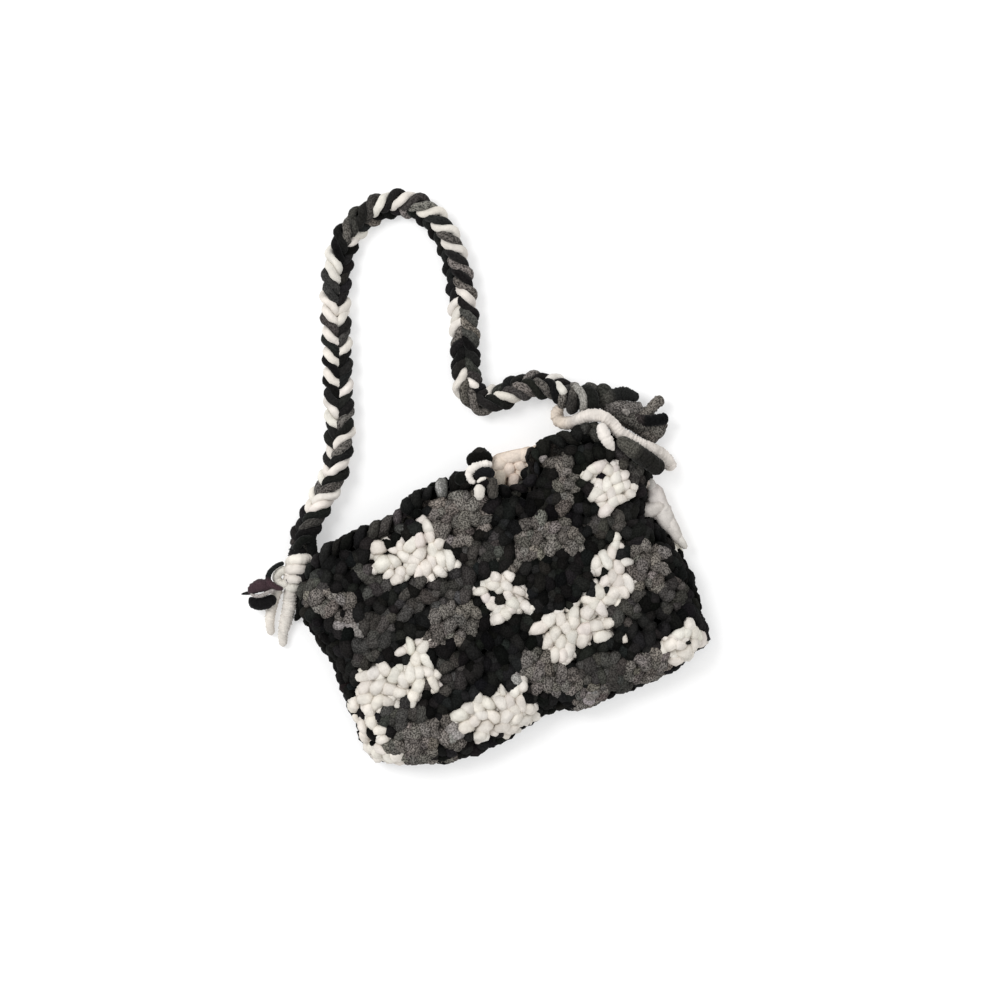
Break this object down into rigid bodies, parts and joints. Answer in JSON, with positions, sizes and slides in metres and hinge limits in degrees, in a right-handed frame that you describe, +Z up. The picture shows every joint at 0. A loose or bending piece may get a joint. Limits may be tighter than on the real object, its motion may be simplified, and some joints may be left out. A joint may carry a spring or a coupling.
{
  "type": "crochet shoulder bag",
  "caption": "Small crochet shoulder bag of thick velvet yarn, lying flat on its back, with an open mouth, a bobble and loop closure, and a plaited strap laid out above.",
  "frame": {"origin": "on the floor under the middle of the bag's outline, without its strap, knots and yarn ends", "axes": "+X along the bag's mouth from its left corner to its right, +Y from the base to the mouth, +Z up from the floor through the back and front panels"},
  "size_m": [0.3503, 0.4152, 0.0464],
  "materials": {
    "black_yarn": "velvety chenille pile, matt",
    "charcoal_yarn": "velvety chenille pile, matt",
    "grey_yarn": "heathered chenille pile, matt",
    "white_yarn": "velvety chenille pile, soft sheen",
    "plum_yarn": "velvety chenille pile, matt"
  },
  "bodies": {
    "root": {"bag_pouch": "black_yarn", "strap": "charcoal_yarn", "knot_left": "white_yarn", "knot_right": "charcoal_yarn", "end_left_near": "white_yarn", "end_left_far": "white_yarn", "bow_thread": "plum_yarn", "bow": "plum_yarn", "tassel": "grey_yarn", "end_right_white": "white_yarn", "end_right_short": "white_yarn", "end_right_black": "black_yarn", "bobble_button": "black_yarn", "button_loop": "white_yarn"}
  },
  "joints": []
}
